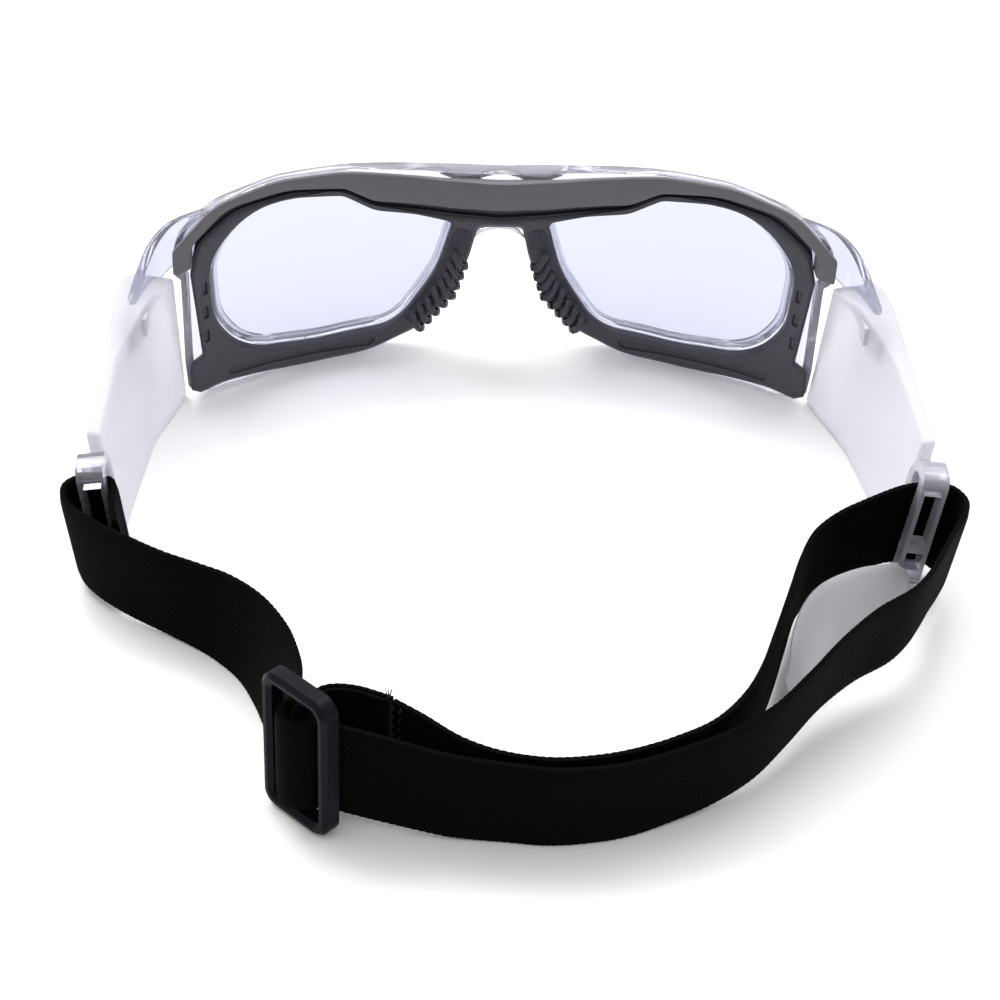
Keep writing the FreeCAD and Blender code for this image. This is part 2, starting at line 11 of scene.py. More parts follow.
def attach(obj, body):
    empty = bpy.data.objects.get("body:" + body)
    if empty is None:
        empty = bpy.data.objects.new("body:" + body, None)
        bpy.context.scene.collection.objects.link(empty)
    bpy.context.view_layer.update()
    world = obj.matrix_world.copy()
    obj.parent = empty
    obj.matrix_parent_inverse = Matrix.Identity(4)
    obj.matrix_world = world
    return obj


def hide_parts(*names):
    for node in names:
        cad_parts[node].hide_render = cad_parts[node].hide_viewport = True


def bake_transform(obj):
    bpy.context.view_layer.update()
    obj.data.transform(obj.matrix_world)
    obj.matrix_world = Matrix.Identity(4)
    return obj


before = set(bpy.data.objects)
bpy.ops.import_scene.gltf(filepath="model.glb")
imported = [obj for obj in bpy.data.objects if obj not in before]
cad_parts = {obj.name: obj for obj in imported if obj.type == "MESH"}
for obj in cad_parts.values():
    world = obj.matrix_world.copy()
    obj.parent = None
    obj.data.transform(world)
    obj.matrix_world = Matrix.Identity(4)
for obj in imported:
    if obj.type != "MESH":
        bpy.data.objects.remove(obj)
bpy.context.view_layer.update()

SHIFT_Y = 76.4              # from the drawing's zero in Y to the row frame's origin
WRAP_RADIUS = 90.0          # face-form curve of the whole front, about a vertical axis
FRAME_BACK = -4.6           # depth of the clear frame's rear face
FRAME_END = 61.8            # half the front's width
SIDES = (("right", 1), ("left", -1))


def place(x, y, z):
    """A point of the drawing, in the row frame's metres."""
    return Vector((x, y + SHIFT_Y, z)) / 1000


def wrap(x, depth, z):
    """A point of the front given by its depth behind the front's curved surface."""
    return place(x, depth - WRAP_RADIUS + math.sqrt(WRAP_RADIUS**2 - x * x), z)


# --- materials ---------------------------------------------------------------------------------
def link(tree, a, out, b, into):
    tree.links.new(a.outputs[out], b.inputs[into])


def add(tree, kind, **values):
    node = tree.nodes.new(kind)
    for key, value in values.items():
        if key in node.inputs:
            node.inputs[key].default_value = value
        else:
            setattr(node, key, value)
    return node


MIX_FACTOR, MIX_A, MIX_B, MIX_RESULT = 0, 6, 7, 2      # a colour Mix node's own sockets
FLOAT_A, FLOAT_B, FLOAT_RESULT = 2, 3, 0               # and a plain number's
ROUGH_WANDER = 0.06


def material(name, colour, rough, vary=0.08, grain=900.0, bump=0.1, depth=0.00005, patch=60.0, **sockets):
    """A Principled surface: patchy tone, fine grain in the bump, roughness that wanders a little.

    vary is the tone's change either way, grain and patch are how fine the two noises are per metre,
    bump and depth are the grain's strength and height, and sockets go to the shader by name."""
    made = bpy.data.materials.new(name)
    made.use_nodes = True
    tree = made.node_tree
    shader = tree.nodes["Principled BSDF"]
    for key, value in sockets.items():
        shader.inputs[key.replace("_", " ")].default_value = value
    spot = add(tree, "ShaderNodeTexCoord")
    fine = add(tree, "ShaderNodeTexNoise", Scale=grain, Detail=4.0, Roughness=0.6)
    broad = add(tree, "ShaderNodeTexNoise", Scale=patch, Detail=3.0)
    link(tree, spot, "Object", fine, "Vector")
    link(tree, spot, "Object", broad, "Vector")
    tone = add(tree, "ShaderNodeMix", data_type="RGBA")
    tone.inputs[MIX_A].default_value = (*[c * (1 - vary) for c in colour], 1)
    tone.inputs[MIX_B].default_value = (*[min(1, c * (1 + vary)) for c in colour], 1)
    link(tree, broad, "Fac", tone, MIX_FACTOR)
    link(tree, tone, MIX_RESULT, shader, "Base Color")
    spread = ROUGH_WANDER * min(1, rough * 4)
    wander = add(tree, "ShaderNodeMapRange")
    wander.inputs["To Min"].default_value = max(0.0, rough - spread)
    wander.inputs["To Max"].default_value = min(1.0, rough + spread)
    link(tree, fine, "Fac", wander, "Value")
    link(tree, wander, "Result", shader, "Roughness")
    relief = add(tree, "ShaderNodeBump", Strength=bump, Distance=depth)
    link(tree, fine, "Fac", relief, "Height")
    link(tree, relief, "Normal", shader, "Normal")
    return made


CLEAR = material("clear_polycarbonate", (0.80, 0.81, 0.89), rough=0.04, vary=0.03, grain=400, bump=0.03,
                 Transmission_Weight=0.86, IOR=1.5)
CLEAR_END = material("clear_end_piece", (0.64, 0.65, 0.77), rough=0.04, vary=0.03, grain=400, bump=0.03,
                     Transmission_Weight=0.9, IOR=1.45)
# Painted light: the clear loops get a grey base and less transmission, standing in for the light they
# refract; the right loop, which is lit, is made less clear and so lighter, and the left one, in shade, is
# kept clearer and darker as painted shade.
LOOP_LIT_AND_SHADED_CLARITY = {"left": 0.85, "right": 0.62}
LOOP = {word: material("clear_loop_painted_light_" + word, (0.68, 0.68, 0.76), rough=0.07, vary=0.05, grain=500, bump=0.05,
                       Transmission_Weight=clarity, IOR=1.45)
        for word, clarity in LOOP_LIT_AND_SHADED_CLARITY.items()}
LENS = material("lens_polycarbonate", (0.525, 0.54, 0.645), rough=0.01, vary=0.01, grain=200, bump=0.004,
                Transmission_Weight=1.0, IOR=1.2)
GASKET = material("gasket_elastomer", (0.034, 0.036, 0.049), rough=0.42, vary=0.1, grain=2600, bump=0.25,
                  depth=0.00006)
BROW = material("brow_elastomer", (0.105, 0.104, 0.114), rough=0.5, grain=2400, bump=0.3, depth=0.00006)
# Painted reflection: the brow bar's elastomer, painted much lighter where its tab lies under the clear frame,
# for the white sheen the glossy glass throws over it.
BROW_TAB_PAINTED_SHEEN = material("brow_tab_elastomer_painted_sheen", (0.30, 0.30, 0.345), rough=0.4, vary=0.05, grain=2400,
                       depth=0.00004)
SILICONE = material("frosted_silicone", (0.86, 0.855, 0.905), rough=0.5, vary=0.03, grain=1500, bump=0.2,
                    Transmission_Weight=0.55, IOR=1.35, Subsurface_Weight=0.2,
                    Subsurface_Radius=(0.004, 0.004, 0.005), Subsurface_Scale=1.0)
ADJUSTER = material("adjuster_plastic", (0.0035, 0.0035, 0.0075), rough=0.36, vary=0.12, grain=3000, bump=0.3,
                    depth=0.00004, Specular_IOR_Level=0.09)
STUD = material("stud_plastic", (0.84, 0.835, 0.885), rough=0.55, vary=0.04, grain=600, bump=0.05,
                Transmission_Weight=0.4, IOR=1.3)
THREAD = material("black_thread", (0.012, 0.012, 0.014), rough=0.7, vary=0.2, grain=5000, bump=0.5)

WEAVE_COLUMN = 1.1          # width over which the stitches slant one way
WEAVE_SLANT = 0.55
WEAVE_ROW = 0.62            # from stitch to stitch along the band
WEAVE_PICK = 0.55           # from rib to rib across it
WEAVE_PICK_HEIGHT = 0.35    # beside the stitches' own


def webbing_material():
    """Woven elastic: slanted stitches that reverse across the width, laid on with the band's own UV in mm."""
    made = material("woven_elastic", (0.0018, 0.0018, 0.0022), rough=0.85, vary=0.3, grain=4200, bump=0.4,
                    Sheen_Weight=0.004, Sheen_Roughness=0.4, Specular_IOR_Level=0.03)
    tree = made.node_tree
    shader = tree.nodes["Principled BSDF"]
    cloth = add(tree, "ShaderNodeUVMap", uv_map="weave")
    split = add(tree, "ShaderNodeSeparateXYZ")
    link(tree, cloth, "UV", split, "Vector")
    column = add(tree, "ShaderNodeMath", operation="PINGPONG")
    column.inputs[1].default_value = WEAVE_COLUMN
    link(tree, split, "Y", column, 0)
    slant = add(tree, "ShaderNodeMath", operation="MULTIPLY_ADD")
    slant.inputs[1].default_value = WEAVE_SLANT
    link(tree, column, 0, slant, 0)
    link(tree, split, "X", slant, 2)
    row = add(tree, "ShaderNodeMath", operation="MULTIPLY")
    row.inputs[1].default_value = 2 * math.pi / WEAVE_ROW
    link(tree, slant, 0, row, 0)
    wave = add(tree, "ShaderNodeMath", operation="SINE")
    link(tree, row, 0, wave, 0)
    pick = add(tree, "ShaderNodeMath", operation="MULTIPLY")
    pick.inputs[1].default_value = 2 * math.pi / WEAVE_PICK
    link(tree, split, "Y", pick, 0)
    pick_wave = add(tree, "ShaderNodeMath", operation="SINE")
    link(tree, pick, 0, pick_wave, 0)
    both = add(tree, "ShaderNodeMath", operation="MULTIPLY_ADD")
    both.inputs[1].default_value = WEAVE_PICK_HEIGHT
    link(tree, pick_wave, 0, both, 0)
    link(tree, wave, 0, both, 2)
    weave = add(tree, "ShaderNodeBump", Strength=0.55, Distance=0.00012)
    link(tree, both, 0, weave, "Height")
    grain = next(n for n in tree.nodes if n.bl_idname == "ShaderNodeBump" and n != weave)
    link(tree, grain, "Normal", weave, "Normal")
    link(tree, weave, "Normal", shader, "Normal")
    return made


WEBBING = webbing_material()


# --- shapes ------------------------------------------------------------------------------------
NO_CORNER = 0.01            # radians of turn too small to need an arc
LEAST_RADIUS = 0.15
BEND_STRIP = 1.6            # a plate is cut into strips this wide, so that it can follow the front's curve
SHARP_ANGLE = 35            # degrees between faces from which an edge is drawn sharp or bevelled


def corner_loop(points, steps=7):
    """The points (x, z) of a closed outline whose corners (x, z, radius) are rounded, `steps` to a corner."""
    loop = []
    count = len(points)
    for i, (x, z, radius) in enumerate(points):
        here = Vector((x, z))
        back = (Vector(points[i - 1][:2]) - here).normalized()
        ahead = (Vector(points[(i + 1) % count][:2]) - here).normalized()
        turn = back.angle(ahead)
        if radius == 0 or turn > math.pi - NO_CORNER:
            loop.append(here.copy())
            continue
        reach = radius / math.tan(turn / 2)
        middle = here + (back + ahead).normalized() * (radius / math.sin(turn / 2))
        start, end = here + back * reach - middle, here + ahead * reach - middle
        sweep = start.angle_signed(end)
        for k in range(steps + 1):
            arc = start.copy()
            arc.rotate(Matrix.Rotation(-sweep * k / steps, 2))
            loop.append(middle + arc)
    return loop


def grown(points, by):
    """The same corners moved outward by a distance (inward if negative), radii kept in step."""
    count = len(points)
    area = sum(points[i - 1][0] * points[i][1] - points[i][0] * points[i - 1][1] for i in range(count))
    side = 1 if area > 0 else -1
    moved = []
    for i, (x, z, radius) in enumerate(points):
        ax, az = x - points[i - 1][0], z - points[i - 1][1]
        bx, bz = points[(i + 1) % count][0] - x, points[(i + 1) % count][1] - z
        la, lb = math.hypot(ax, az), math.hypot(bx, bz)
        nx, nz = side * (az / la + bz / lb), -side * (ax / la + bx / lb)
        k = 2 * by / (nx * nx + nz * nz)
        inside_turn = side * (ax * bz - az * bx) > 0
        new = radius + (by if inside_turn else -by)
        moved.append((x + nx * k, z + nz * k, max(LEAST_RADIUS, new) if radius > 0 else 0))
    return moved


def both_halves(half):
    """A closed symmetric outline from its right-hand corners, top centre to bottom centre."""
    return [(-x, z, r) for x, z, r in reversed(half) if x > 0.01] + half


def flipped(points):
    """The left-hand copy of a right-hand outline."""
    return [(-x, z, r) for x, z, r in points]


def profile(front, back, near, far, steps=4):
    """(inset, depth) down a plate's edge, rounded by `near` at the front and `far` at the back."""
    line = []
    for radius, edge, way in ((near, front, -1), (far, back, 1)):
        arc = [(radius * (1 - math.sin(a)), edge + way * radius * (1 - math.cos(a)))
               for a in (math.pi / 2 * k / steps for k in range(steps + 1))]
        line += arc if way < 0 else arc[::-1]
    return line


def finish_mesh(name, mesh_data, surface, smooth=32):
    mesh_data.materials.append(surface)
    mesh_data.shade_smooth()
    mesh_data.set_sharp_from_angle(angle=math.radians(smooth))
    thing = bpy.data.objects.new(name, mesh_data)
    bpy.context.collection.objects.link(thing)
    return thing


def down(points, edge, way=-1):
    """The rows of an outline's edge: the outline inset by each step of the profile, and its depth."""
    return [(grown(points, way * inset), depth) for inset, depth in edge]


def plate(name, outer, holes, surface):
    """A closed plate that follows the front's curve, from the rows of its outline and of its holes."""
    work = bmesh.new()
    rims = []
    for rows in [outer] + holes:
        rings = []
        for points, depth in rows:
            rings.append([work.verts.new((p.x, depth, p.y)) for p in corner_loop(points)])
        count = len(rings[0])
        for above, below in zip(rings, rings[1:]):
            for i in range(count):
                j = (i + 1) % count
                work.faces.new((above[i], above[j], below[j], below[i]))
        rims.append((rings[0], rings[-1]))
    for side in (0, 1):
        edges = []
        for rim in rims:
            ring = rim[side]
            for i in range(len(ring)):
                edges.append(work.edges.get((ring[i], ring[(i + 1) % len(ring)])))
        bmesh.ops.triangle_fill(work, use_beauty=True, use_dissolve=False, edges=edges)
    low = min(v.co.x for v in work.verts)
    high = max(v.co.x for v in work.verts)
    for k in range(1, int((high - low) / BEND_STRIP)):
        geometry = work.verts[:] + work.edges[:] + work.faces[:]
        bmesh.ops.bisect_plane(work, geom=geometry, plane_co=(low + k * BEND_STRIP, 0, 0), plane_no=(1, 0, 0),
                               dist=1e-4)
    bmesh.ops.recalc_face_normals(work, faces=work.faces)
    for vert in work.verts:
        x, depth, z = vert.co
        vert.co = wrap(x, depth, z)
    data = bpy.data.meshes.new(name)
    work.to_mesh(data)
    work.free()
    return finish_mesh(name, data, surface)


def loft(name, sections, surface, smooth=32, uv=None):
    """A capped skin over closed sections with the same number of points, in row-frame metres.

    uv is the distance along at each section and the distance across at each of its points, in mm."""
    work = bmesh.new()
    rows = [[work.verts.new(p) for p in section] for section in sections]
    count = len(rows[0])
    layer = work.loops.layers.uv.new("weave") if uv else None
    for a, (near, far) in enumerate(zip(rows, rows[1:])):
        for i in range(count):
            j = (i + 1) % count
            face = work.faces.new((near[i], near[j], far[j], far[i]))
            if uv:
                for corner, (row, col) in zip(face.loops, ((a, i), (a, j), (a + 1, j), (a + 1, i))):
                    corner[layer].uv = (uv[0][row], uv[1][col])
    work.faces.new(rows[0][::-1])
    work.faces.new(rows[-1])
    bmesh.ops.recalc_face_normals(work, faces=work.faces)
    data = bpy.data.meshes.new(name)
    work.to_mesh(data)
    work.free()
    return finish_mesh(name, data, surface, smooth)


def tube(name, path, radius, surface, sides=8, taper=None):
    """A round bar along a path of row-frame points; taper is its share of the radius at each."""
    sections = []
    count = len(path)
    for i, point in enumerate(path):
        ahead = (path[min(i + 1, count - 1)] - path[max(i - 1, 0)]).normalized()
        across = ahead.orthogonal().normalized()
        up = ahead.cross(across)
        size = radius * (taper[i] if taper else 1)
        ring = [point + across * size * math.cos(a) + up * size * math.sin(a)
                for a in (2 * math.pi * k / sides for k in range(sides))]
        sections.append(ring)
    return loft(name, sections, surface, smooth=60)


def joined(name, things):
    """Several meshes made one, each keeping its own surface."""
    surfaces = list(dict.fromkeys(thing.data.materials[0] for thing in things))
    work = bmesh.new()
    for thing in things:
        for face in thing.data.polygons:
            face.material_index = surfaces.index(thing.data.materials[0])
        work.from_mesh(thing.data)
    data = bpy.data.meshes.new(name)
    work.to_mesh(data)
    work.free()
    for thing in things:
        bpy.data.objects.remove(thing)
    whole = finish_mesh(name, data, surfaces[0])
    for surface in surfaces[1:]:
        data.materials.append(surface)
    return whole


def plan_block(name, points, low, high, surface):
    """A block with upright sides from a plan of (x, depth) points."""
    work = bmesh.new()
    rings = [[work.verts.new(wrap(x, depth, z)) for x, depth in points] for z in (low, high)]
    count = len(points)
    for i in range(count):
        j = (i + 1) % count
        work.faces.new((rings[0][i], rings[0][j], rings[1][j], rings[1][i]))
    for ring in rings:
        edges = [work.edges.get((ring[i], ring[(i + 1) % count])) for i in range(count)]
        bmesh.ops.triangle_fill(work, use_beauty=True, use_dissolve=False, edges=edges)
    bmesh.ops.recalc_face_normals(work, faces=work.faces)
    data = bpy.data.meshes.new(name)
    work.to_mesh(data)
    work.free()
    return finish_mesh(name, data, surface)


def add_bevel(thing, width, segments, angle):
    bevel = thing.modifiers.new("soft_edges", "BEVEL")
    bevel.width = width / 1000
    bevel.segments = segments
    bevel.limit_method = "ANGLE"
    bevel.angle_limit = math.radians(angle)


def rounded_edges(node, width):
    """Softens a carried-over part's edges without touching its mesh."""
    add_bevel(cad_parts[node], width, 3, SHARP_ANGLE)


def soften(thing, width):
    """Rounds a drawn piece's edges in its own mesh."""
    add_bevel(thing, width, 4, 40)
    bpy.context.view_layer.update()
    made = bpy.data.meshes.new_from_object(thing.evaluated_get(bpy.context.evaluated_depsgraph_get()))
    thing.modifiers.clear()
    thing.data = made
    made.shade_smooth()
    made.set_sharp_from_angle(angle=math.radians(SHARP_ANGLE))


def paint(node, surface):
    """Gives a carried-over part its surface."""
    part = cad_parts[node]
    for entry in part.material_slots:
        entry.material = surface
    if not part.material_slots:
        part.data.materials.append(surface)


def smooth_route(points, spacing):
    """Points about `spacing` apart on a smooth line through the given ones, and each given one's index."""
    count = len(points)
    along = [0.0]
    for a, b in zip(points, points[1:]):
        along.append(along[-1] + math.hypot(b[0] - a[0], b[1] - a[1]))
    slopes = []
    for i in range(count):
        a, b = max(i - 1, 0), min(i + 1, count - 1)
        slopes.append([(q - p) / (along[b] - along[a]) for p, q in zip(points[a], points[b])])
    route, marks = [], []
    for i in range(count - 1):
        gap = along[i + 1] - along[i]
        marks.append(len(route))
        steps = max(2, round(gap / spacing))
        for k in range(steps):
            t = k / steps
            keep, lead = 2 * t**3 - 3 * t**2 + 1, (t**3 - 2 * t**2 + t) * gap
            come, tail = 3 * t**2 - 2 * t**3, (t**3 - t**2) * gap
            terms = zip(points[i], slopes[i], points[i + 1], slopes[i + 1])
            route.append([keep * p + lead * m + come * q + tail * n for p, m, q, n in terms])
    marks.append(len(route))
    route.append(list(points[-1]))
    return route, marks


def heading(route, i):
    """The way a route runs in plan at a point, of length 1."""
    before, after = route[max(i - 1, 0)], route[min(i + 1, len(route) - 1)]
    tx, ty = after[0] - before[0], after[1] - before[1]
    size = math.hypot(tx, ty)
    return tx / size, ty / size


# --- front outlines (right-hand half: x, z, corner radius) --------------------------------------
SIGHT = [
    (9.4, 29.0, 1.2), (25.7, 33.9, 12.0), (31.4, 38.0, 9.0), (48.6, 38.4, 13.5), (55.9, 29.5, 10.8),
    (55.3, 16.5, 14.0), (50.1, 7.4, 12.0), (36.4, 5.5, 30.0), (20.5, 6.4, 9.0), (12.5, 18.0, 26.0),
]
GASKET_HALF = [
    (0, 29.7, 0), (9.1, 30.7, 30), (24.3, 33.8, 8), (30.4, 37.9, 5), (40.5, 39.4, 14), (51.1, 38.6, 9),
    (57.7, 34.2, 5), (59.1, 28.6, 3), (57.5, 9.8, 0.8), (59.8, 8.7, 0.6), (59.8, 3.3, 0.8), (58.1, 1.9, 0.8),
    (53.6, 2.3, 8), (38.5, 0.9, 30), (25.8, 1.2, 20), (15.2, 5.8, 14), (8.3, 13.6, 16), (5.7, 22.1, 8),
    (4.4, 27.7, 1.2), (0, 27.7, 0),
]
GASKET_TOP_POINTS = 7       # how many of the gasket's corners lie along its top
BROW_HALF = [
    (0, 38.0, 40), (11.1, 39.2, 30), (30.4, 42.8, 30), (43.5, 43.5, 20), (54.6, 41.7, 9),
    (FRAME_END, 35.6, 1.6), (FRAME_END, 30.4, 0.7), (58.6, 30.4, 0.7), (58.6, 35.0, 3), (52.1, 40.3, 7),
    (41.0, 41.0, 16), (30.4, 39.2, 5),
    (24.8, 35.7, 8), (9.1, 32.9, 30), (0, 32.1, 50),
]
BROW_TOP_POINTS = 6         # and of the brow bar's
TAB_HALF = [(0, -0.45), (4.1, -0.45), (8.2, -0.45), (12.4, -0.45), (8.6, -4.5)]   # plan: x, depth
TAB_BACK = -4.5
TAB_ARCH_WIDTH = 4.2
TAB_ARCH_DEPTH = 2.6
TAB_LOW, TAB_HIGH = 37.3, 38.24
FRAME_HALF = [
    (0, 38.4, 60), (12.1, 39.2, 30), (30.4, 41.5, 30), (43.5, 42.1, 20), (54.6, 40.2, 10),
    (FRAME_END, 36.4, 4), (FRAME_END, 28.4, 0.6), (60.9, 27.2, 0.6), (60.8, 8.8, 0.5), (60.4, 3.2, 1.2),
    (57.2, 0.8, 3),
    (38.5, 0.0, 30), (24.8, 0.7, 4), (13.5, 7.6, 8), (7.3, 16.5, 8), (5.2, 26.4, 5.8), (0, 26.4, 0),
]
BRIDGE_TOP = 38.4
sights = [SIGHT, flipped(SIGHT)]


def risen(share):
    """The frame's outline with only part of the brow's rise above the bridge."""
    return both_halves([(x, z if z < BRIDGE_TOP else BRIDGE_TOP + (z - BRIDGE_TOP) * share, r)
                        for x, z, r in FRAME_HALF])


# --- clear frame -----------------------------------------------------------------------------------
# inset and depth down the frame's outer edge, which rises in a step, and down each lens opening's edge,
# which is a rebate for the lens, a lip behind it and a flare
FRAME_FRONT_EDGE = [(0.55, 0), (0.28, -0.06), (0.1, -0.2), (0, -0.5), (0, -1.9)]
FRAME_STEP_EDGE = [(0, -2.3), (0, -2.7)]
FRAME_REAR_EDGE = [(0, -4.2), (0.12, -4.48), (0.35, -4.58)]
OPENING_EDGE = [
    (1.3, 0), (1.05, -0.08), (0.87, -0.3), (0.86, -2.38), (0.8, -2.45), (-1.0, -2.46), (-1.1, -2.6),
    (-1.1, -3.3), (-0.55, -3.5), (-0.5, -4.3), (-0.2, -4.58),
]
frame_rows = down(risen(0.8), FRAME_FRONT_EDGE)
frame_rows += down(risen(0.9), FRAME_STEP_EDGE)
frame_rows += down(risen(1.0), FRAME_REAR_EDGE)
clear = plate("clear_frame", frame_rows, [down(sight, OPENING_EDGE, 1) for sight in sights], CLEAR)
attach(clear, "front")
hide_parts("front_frame")

# --- face gasket, brow pad, nose pads ------------------------------------------------------------
RING_BACK = -6.05           # where the gasket's raised rear skin starts
GASKET_BACK = -6.6
WEB_FRONT, WEB_BACK = -4.62, -5.1
WEB_RISE = 1.9              # how far the web runs up behind the brow bar
REAR_EDGE = [(0.1, -5.2), (0, -5.3), (0.08, -5.8), (0.3, -6.2), (0.55, -6.45), (0.85, -6.6)]
RECESS_EDGE = [(0.0, -6.0), (0.05, -6.45), (0.2, -6.6)]
VENT_HEIGHTS = (24.6, 19.4, 14.2)

gasket_outline = both_halves(GASKET_HALF)
sight_edge = [down(sight, profile(FRAME_BACK, RING_BACK, 0.15, 0.1), 1) for sight in sights]
ring_edge = down(gasket_outline, profile(FRAME_BACK, RING_BACK, 0.2, 0.1))
ring = plate("gasket_ring", ring_edge, sight_edge, GASKET)
long_slot = [(25.6, 2.7, 0.5), (52.6, 3.6, 0.5), (52.9, 4.9, 0.5), (36.0, 4.1, 20), (24.0, 4.4, 0.5)]
vents = [[(56.2, z + 1.3, 0.2), (56.95, z + 1.0, 0.2), (56.9, z - 1.5, 0.2), (56.15, z - 1.2, 0.2)]
         for z in VENT_HEIGHTS]
rear_holes = [down(sight, profile(-6.0, GASKET_BACK, 0.1, 0.45), 1) for sight in sights]
rear_holes += [down(hole, RECESS_EDGE, 1)
               for points in [long_slot] + vents for hole in (points, flipped(points))]
skin = plate("gasket_skin", down(gasket_outline, REAR_EDGE), rear_holes, GASKET)
behind = [(x, z + (WEB_RISE if i < GASKET_TOP_POINTS else 0.0), r) for i, (x, z, r) in enumerate(GASKET_HALF)]
web = plate("gasket_web", down(both_halves(behind), profile(WEB_FRONT, WEB_BACK, 0.15, 0.2)),
            [down(sight, profile(WEB_FRONT, WEB_BACK, 0.15, 0.1), 1) for sight in sights], GASKET)
gasket = joined("gasket_soft", [ring, skin, web])
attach(gasket, "front")
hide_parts("face_gasket")

BROW_REAR_EDGE = [(0, -7.6), (0.05, -7.95), (0.18, -8.2), (0.42, -8.34), (0.7, -8.38)]
BROW_FALL_AT_MIDDLE = 0.35  # share of the top's fall over the nose
BROW_FALL_REACH = 30        # and how far out it would grow by a whole share
TAB_ARCH_STEPS = 14


def brow_sloped(drop):
    """The brow bar's outline with its top lowered, so that the top falls away towards the front."""
    half = []
    for i, (x, z, r) in enumerate(BROW_HALF):
        fall = drop if i < BROW_TOP_POINTS else 0
        half.append((x, z - fall * min(1, BROW_FALL_AT_MIDDLE + x / BROW_FALL_REACH), r))
    return both_halves(half)


brow_rows = [(grown(brow_sloped(1.7), -0.2), -4.66), (brow_sloped(1.6), -4.9), (brow_sloped(0.9), -6.4)]
brow_bar = plate("brow_bar", brow_rows + down(both_halves(BROW_HALF), BROW_REAR_EDGE), [], BROW)
arch = [(TAB_ARCH_WIDTH * math.cos(a), TAB_BACK + TAB_ARCH_DEPTH * math.sin(a))
        for a in (math.pi * k / TAB_ARCH_STEPS for k in range(TAB_ARCH_STEPS + 1))]
tab_plan = [(-x, depth) for x, depth in TAB_HALF[:0:-1]] + TAB_HALF + arch
# the tab under the clear frame takes the lighter elastomer, painted with the glass's reflected sheen
brow_tab = plan_block("brow_tab", tab_plan, TAB_LOW, TAB_HIGH, BROW_TAB_PAINTED_SHEEN)
brow = joined("brow_soft", [brow_bar, brow_tab])
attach(brow, "front")
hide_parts("brow_pad")

NOSE_EDGE = [(5.5, 27.0), (6.3, 21.6), (8.9, 13.8), (15.3, 6.6)]        # x, z down the pad's nose side
EYE_EDGE = [(9.6, 28.2), (11.0, 22.4), (13.1, 16.4), (19.0, 8.4)]       # and down its eye side
FIN_SHARES = [0.29, 0.39, 0.49, 0.59, 0.69, 0.79, 0.89, 0.985]          # where the scales are, down the pad
FIN_HOOK = [   # across the pad (0 eye edge, 1 nose edge), up along it, depth
    (0.26, 2.4, -7.9), (0.4, 1.5, -8.9), (0.6, 0.6, -9.35), (0.82, -0.05, -9.2), (1.02, -0.25, -8.5),
    (1.07, -0.1, -7.0),
]
FIN_RADIUS = 0.72
FIN_SPACING = 0.12          # between a scale's sections, in shares of the pad's width
PAD_PROFILE = [   # across the pad, depth
    (0.0, -5.6), (0.02, -6.2), (0.22, -7.4), (0.45, -8.5), (0.62, -8.75), (0.85, -8.3), (1.0, -7.4),
    (1.0, -6.3),
]
PAD_FOOT = -6.3             # depth that the pad sinks to at its ends
PAD_SECTIONS = 14


def on_line(points, share):
    """The point at a share of a broken line's length."""
    lengths = [math.dist(a, b) for a, b in zip(points, points[1:])]
    left = share * sum(lengths)
    for (a, b), size in zip(zip(points, points[1:]), lengths):
        if left <= size:
            return [p + (q - p) * left / size for p, q in zip(a, b)]
        left -= size
    return list(points[-1])


def pad_point(side, share, across, rise, depth):
    """A point of the nose pad: along it from the top, across it from the eye's side to the nose's."""
    ex, ez = on_line(EYE_EDGE, share)
    nx, nz = on_line(NOSE_EDGE, share)
    ux, uz = NOSE_EDGE[0][0] - NOSE_EDGE[-1][0], NOSE_EDGE[0][1] - NOSE_EDGE[-1][1]
    size = math.hypot(ux, uz)
    x = ex + (nx - ex) * across + ux / size * rise
    z = ez + (nz - ez) * across + uz / size * rise
    return wrap(side * x, depth, z)


def nose_fins(side):
    """A sloping wall beside the eye opening and eight soft scales that hook round it to the nose."""
    body = []
    for k in range(PAD_SECTIONS + 1):
        share = k / PAD_SECTIONS
        fullness = min(1.0, 0.2 + 3.2 * share, 0.75 + 3 * (1 - share))
        body.append([pad_point(side, share, across, 0, PAD_FOOT + (depth - PAD_FOOT) * fullness)
                     for across, depth in PAD_PROFILE])
    things = [loft("nose_base", body, GASKET, smooth=50)]
    for share in FIN_SHARES:
        route, _ = smooth_route(FIN_HOOK, FIN_SPACING)
        path = [pad_point(side, share, *spot) for spot in route]
        taper = [min(1, 0.5 + 0.2 * min(i, len(path) - 1 - i)) for i in range(len(path))]
        things.append(tube("fin", path, FIN_RADIUS / 1000, GASKET, 10, taper))
    return things


for word, side in SIDES:
    pad = joined("nose_fins_" + word, nose_fins(side))
    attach(pad, "front")
    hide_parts("nose_pad_" + word)

# --- clear end pieces ------------------------------------------------------------------------------
END_BAND = [   # middle of the clear end piece in plan; its lower and upper edge
    (56.2, -21.2, 31.0, 38.9), (59.0, -23.2, 30.2, 38.8), (61.4, -25.1, 29.6, 38.6),
    (63.4, -27.2, 29.0, 38.0), (65.2, -30.2, 28.0, 36.9), (66.7, -33.8, 26.4, 34.9),
    (68.0, -38.2, 24.6, 31.8), (68.9, -42.5, 23.6, 29.6), (69.4, -47.5, 22.9, 28.4),
]
END_BAND_HALF = 0.95        # half the strip's thickness
END_BAND_FLAT = 1.35        # how far the section's round is cut off into flat faces
END_BAND_CREST = 0.35       # and how square its upper and lower edges are
END_BAND_SIDES = 28


